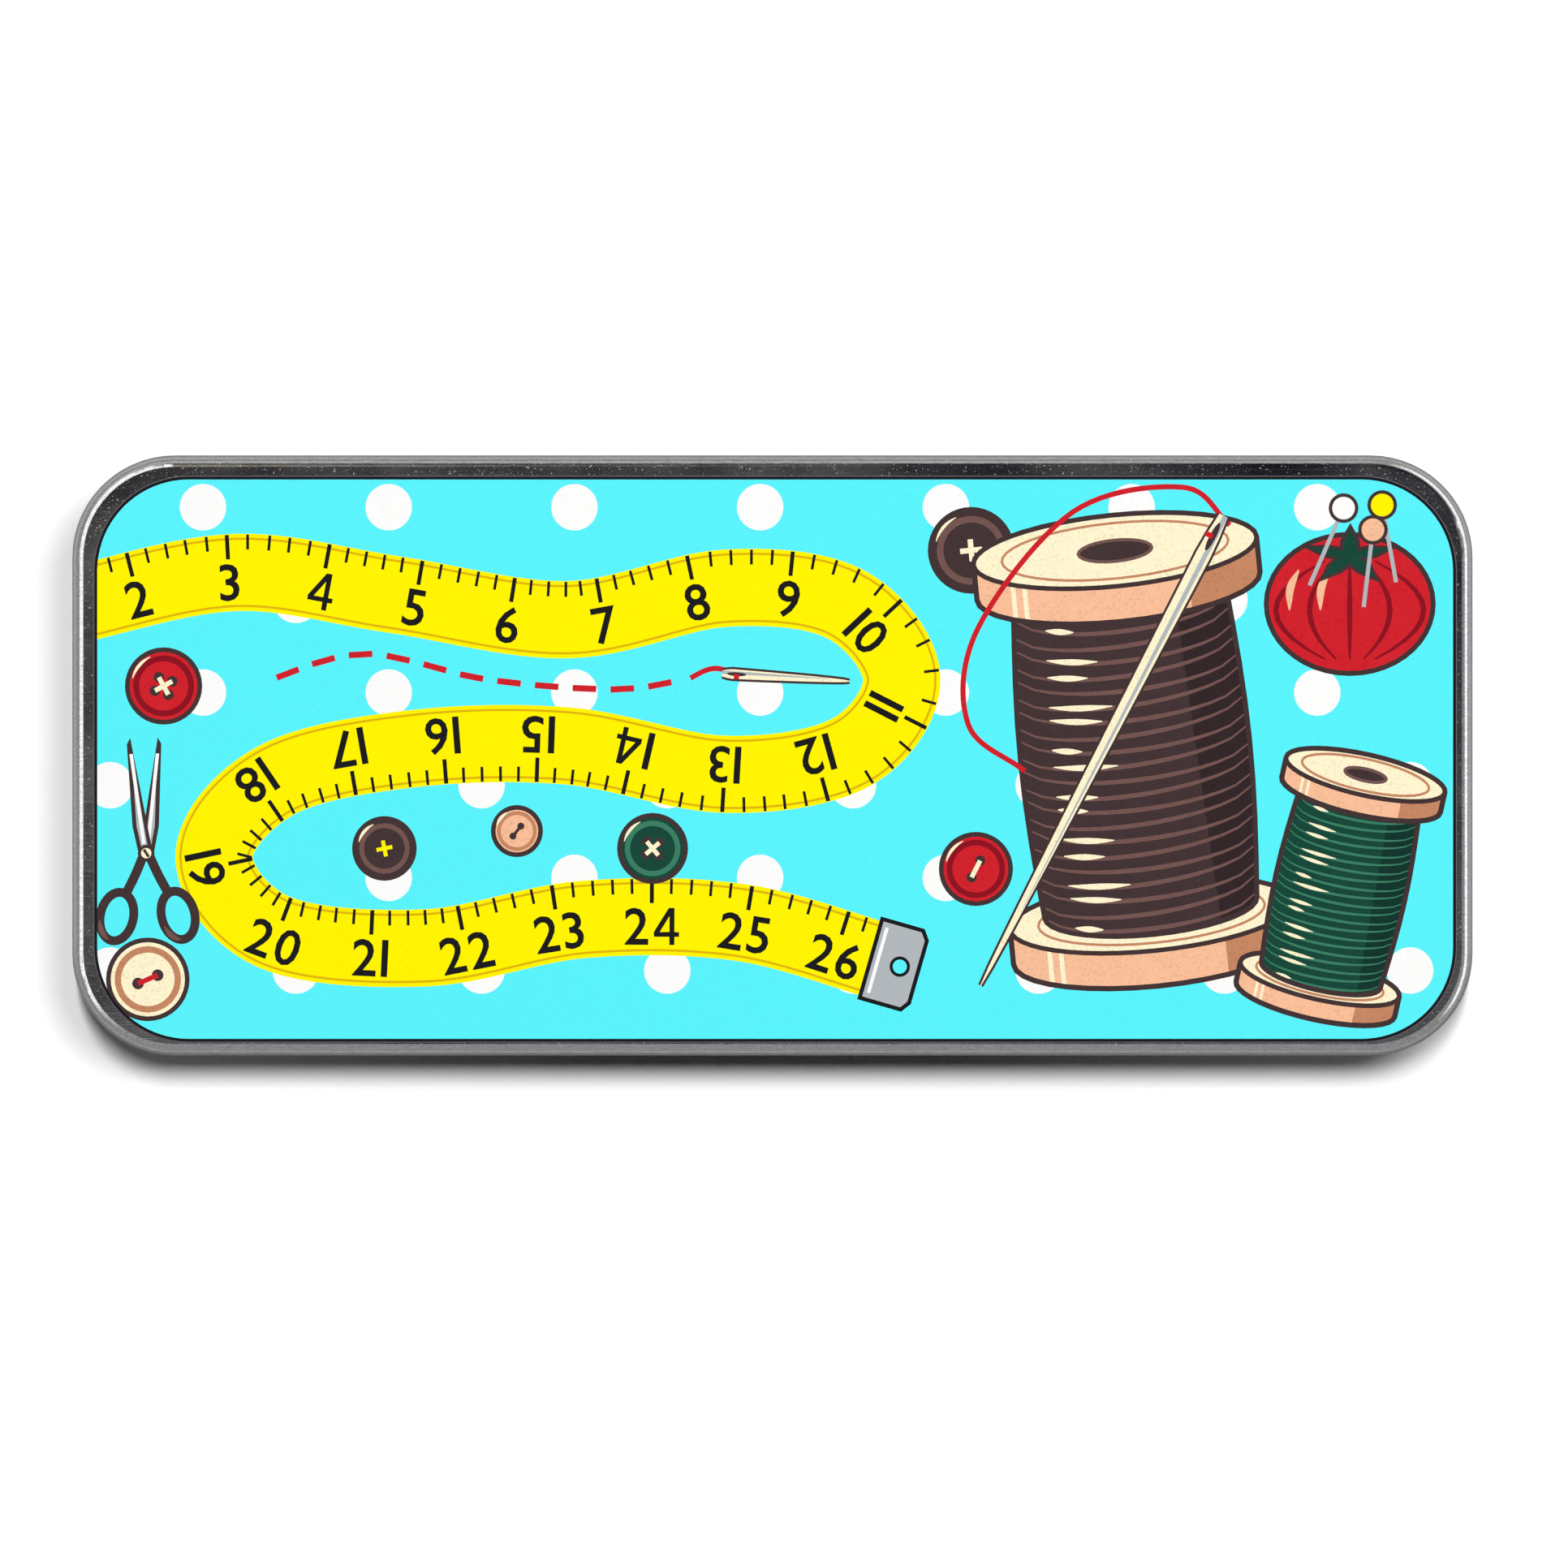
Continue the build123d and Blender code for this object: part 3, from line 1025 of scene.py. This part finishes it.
def makeFloor():
    half = floor["size"] / 2
    outer = [Vector(corner) for corner in ((-half, -half), (half, -half), (half, half), (-half, half))]
    edge = Vector((floor["underTin"], floor["underTin"]))
    low, high = (corner.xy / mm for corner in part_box("base_tray"))
    opening = roundedBox(low + edge, high - edge, label["radius"], floor["cornerSteps"])
    inner = [corner * mm for corner in opening]
    builder = bmesh.new()
    for corners in (outer, inner):
        spots = [builder.verts.new((*corner, 0)) for corner in corners]
        for a, b in zip(spots, spots[1:] + spots[:1]):
            builder.edges.new((a, b))
    bmesh.ops.triangle_fill(builder, edges=builder.edges[:], use_beauty=True)
    bmesh.ops.reverse_faces(builder, faces=[face for face in builder.faces if face.normal.z < 0])
    piece = meshFrom(builder, "floor")
    piece.data.materials.append(makePaper())


def makePaper():
    material, tree, shader = newMaterial("floorPaper")
    coords = addNode(tree, "ShaderNodeTexCoord").outputs["Object"]
    away = addNode(tree, "ShaderNodeVectorMath", {0: coords}, operation="LENGTH").outputs["Value"]
    front = remap(tree, splitUp(tree, coords)["Y"], 1.0, floor["mirroredElsewhere"], *floor["frontStarts"])
    glossy = addNode(tree, "ShaderNodeLightPath").outputs["Is Glossy Ray"]
    # painted shade: glossy rays see a darker floor, most in front of the tin
    mirrored = combine(tree, "MULTIPLY", front, glossy)
    white, glow = ((level, level, level, 1.0) for level in (floor["white"], 1.0))
    fade = fadeIn(tree, away, *floor["glowStarts"])
    look = {
        "Base Color": mixColours(tree, mirrored, white, floor["mirrored"]),
        "Emission Color": mixColours(tree, mirrored, glow, floor["mirrored"]),
        "Emission Strength": combine(tree, "MULTIPLY", fade, seenRays(tree)),
        "Roughness": floor["roughness"],
        "Specular IOR Level": 0.0,
    }
    setInputs(tree, shader, look)
    clear = addNode(tree, "ShaderNodeBsdfTransparent")  # seen from below, so that the underside shows
    fromBelow = addNode(tree, "ShaderNodeNewGeometry").outputs["Backfacing"]
    either = {0: fromBelow, 1: shader.outputs[0], 2: clear.outputs[0]}
    mixed = addNode(tree, "ShaderNodeMixShader", either).outputs[0]
    tree.links.new(mixed, tree.nodes["Material Output"].inputs["Surface"])
    return material


def seenRays(tree):
    # 1 for what the camera sees, straight or by way of metal or glass
    path = addNode(tree, "ShaderNodeLightPath")
    total = path.outputs["Is Camera Ray"]
    for name in ("Is Glossy Ray", "Is Transmission Ray"):
        total = combine(tree, "MAXIMUM", total, path.outputs[name])
    straight = combine(tree, "LESS_THAN", path.outputs["Diffuse Depth"], 0.5)
    return combine(tree, "MULTIPLY", total, straight)


# studio: dark card overhead, pale round the horizon, a soft window of light on three sides
studio = {
    "fill": 0.012,
    "horizon": 0.95,
    "grey": 0.64,
    "horizonTo": 0.05,  # heights where the horizon ends and the grey begins, from 0 to 1 overhead
    "greyFrom": 0.3,
    "dark": (0.014, 0.013, 0.024, 1.0),
    "card": {"lean": 0.289, "from": 0.924, "to": 0.947},  # leans to the hinge side
    "sideBoxes": (2.6, 2.6, 2.55, 1.0),
    "boxEdges": (0.5, 0.4, 0.24, 1.0),
    "leftBox": ((0.66, 0.8), (0.965, 0.995)),  # heights where it fades in and out
    "rightBox": ((0.3, 0.5), (0.78, 0.84)),
    "backBox": ((0.42, 0.58), (0.76, 0.84)),
    "backGlow": (1.08, 1.08, 1.09, 1.0),
    "boxSpread": (0.42, 0.76),
    "boxFrom": (0.0, 0.35),  # strengths of a side box where its edge fades in
    "boxFullFrom": (0.3, 0.95),  # and where its own colour does
    "turnedBack": 0.3,  # how far the side boxes are turned to the back
}
lamps = {
    "key": {"at": (0.0, 0.12, 0.97), "size": (0.03, 0.15), "power": 6.05},
    "side": {"at": (0.16, 0.12, 0.97), "size": (0.19, 0.15), "power": 3.6},
    "left": {"at": (-0.62, 0.05, 0.85), "size": (0.5, 0.9), "power": 0.1},
    "right": {"at": (0.62, 0.12, 0.85), "size": (0.5, 0.9), "power": 0.12},
}


def softBox(tree, z, side, heights):
    # a soft window of light on one side of the tin
    low, high = heights
    window = combine(tree, "MULTIPLY", fadeIn(tree, z, *low), remap(tree, z, 1.0, 0.0, *high))
    return combine(tree, "MULTIPLY", window, fadeIn(tree, side, *studio["boxSpread"]))


def makeWorld():
    world = bpy.data.worlds.new("studio")
    bpy.context.scene.world = world
    world.use_nodes = True
    tree = world.node_tree
    background = tree.nodes["Background"]
    coords = addNode(tree, "ShaderNodeTexCoord").outputs["Generated"]
    x, y, z = splitUp(tree, coords)
    ramp = addNode(tree, "ShaderNodeValToRGB", {0: z})
    steps = (
        (0.0, studio["horizon"]),
        (studio["horizonTo"], studio["horizon"]),
        (studio["greyFrom"], studio["grey"]),
    )
    ramp.color_ramp.elements.new(0.5)
    for element, (place, level) in zip(ramp.color_ramp.elements, steps):
        element.position = place
        element.color = (level, level, level, 1.0)
    card = studio["card"]
    upToCard = (0.0, math.sin(card["lean"]), math.cos(card["lean"]))
    leaning = addNode(tree, "ShaderNodeVectorMath", {0: coords, 1: upToCard}, operation="DOT_PRODUCT")
    underCard = fadeIn(tree, leaning.outputs["Value"], card["from"], card["to"])
    shaded = mixColours(tree, underCard, ramp.outputs[0], studio["dark"])
    justOverOne = 1.0001  # keeps the root above nought
    levelSquared = combine(tree, "SUBTRACT", justOverOne, combine(tree, "MULTIPLY", z, z))
    level = combine(tree, "POWER", levelSquared, 0.5)
    across = combine(tree, "DIVIDE", x, level)
    back = combine(tree, "DIVIDE", y, level)
    glowing = mixColours(tree, softBox(tree, z, back, studio["backBox"]), shaded, studio["backGlow"])
    behind = combine(tree, "MULTIPLY", back, studio["turnedBack"])
    leftBox = softBox(tree, z, combine(tree, "SUBTRACT", behind, across), studio["leftBox"])
    rightBox = softBox(tree, z, combine(tree, "ADD", behind, across), studio["rightBox"])
    boxes = combine(tree, "MAXIMUM", leftBox, rightBox)
    full = fadeIn(tree, boxes, *studio["boxFullFrom"])
    boxLight = mixColours(tree, full, studio["boxEdges"], studio["sideBoxes"])
    seenSky = mixColours(tree, fadeIn(tree, boxes, *studio["boxFrom"]), glowing, boxLight)
    path = addNode(tree, "ShaderNodeLightPath")
    white = (studio["horizon"],) * 3 + (1.0,)
    fill = (studio["fill"],) * 3 + (1.0,)
    seen = mixColours(tree, path.outputs["Is Camera Ray"], seenSky, white)
    tree.links.new(mixColours(tree, seenRays(tree), fill, seen), background.inputs["Color"])


def makeLamp(name):
    values = lamps[name]
    data = bpy.data.lights.new(name, "AREA")
    data.shape = "ELLIPSE"
    data.size, data.size_y = values["size"]
    data.energy = values["power"]
    lamp = addObject(name, data)
    lamp.location = values["at"]
    facing = Vector(values["at"]).normalized()
    across = Vector((0, 1, 0)).cross(facing).normalized()  # keeps the lamp's width along the tin
    lamp.rotation_euler = Matrix((across, facing.cross(across), facing)).transposed().to_euler()
    lamp.visible_glossy = False  # the metal sees the studio's soft boxes instead


def dress(node, material):
    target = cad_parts[node]
    target.data.materials.clear()
    target.data.materials.append(material)


scene = bpy.context.scene
scene.view_settings.view_transform = "Standard"
makeCamera()
makeWorld()
for lampName in lamps:
    makeLamp(lampName)
makeFloor()
print("studio ready")

for make, nodes in (
    (makeTinplate, ("base_tray", "lid_shell")),
    (makeWire, ("hinge_pin_left", "hinge_pin_right")),
    (makeMagnet, ("base_magnet_sheet", "lid_magnet_sheet")),
    (makeAdhesive, ("base_magnet_adhesive", "lid_magnet_adhesive")),
):
    finish = make()
    for node in nodes:
        dress(node, finish)
print("tin and magnets dressed")

inkMaterials = {name: makeInk(name, colour) for name, colour in inks.items()}
makeLabel(inkMaterials)
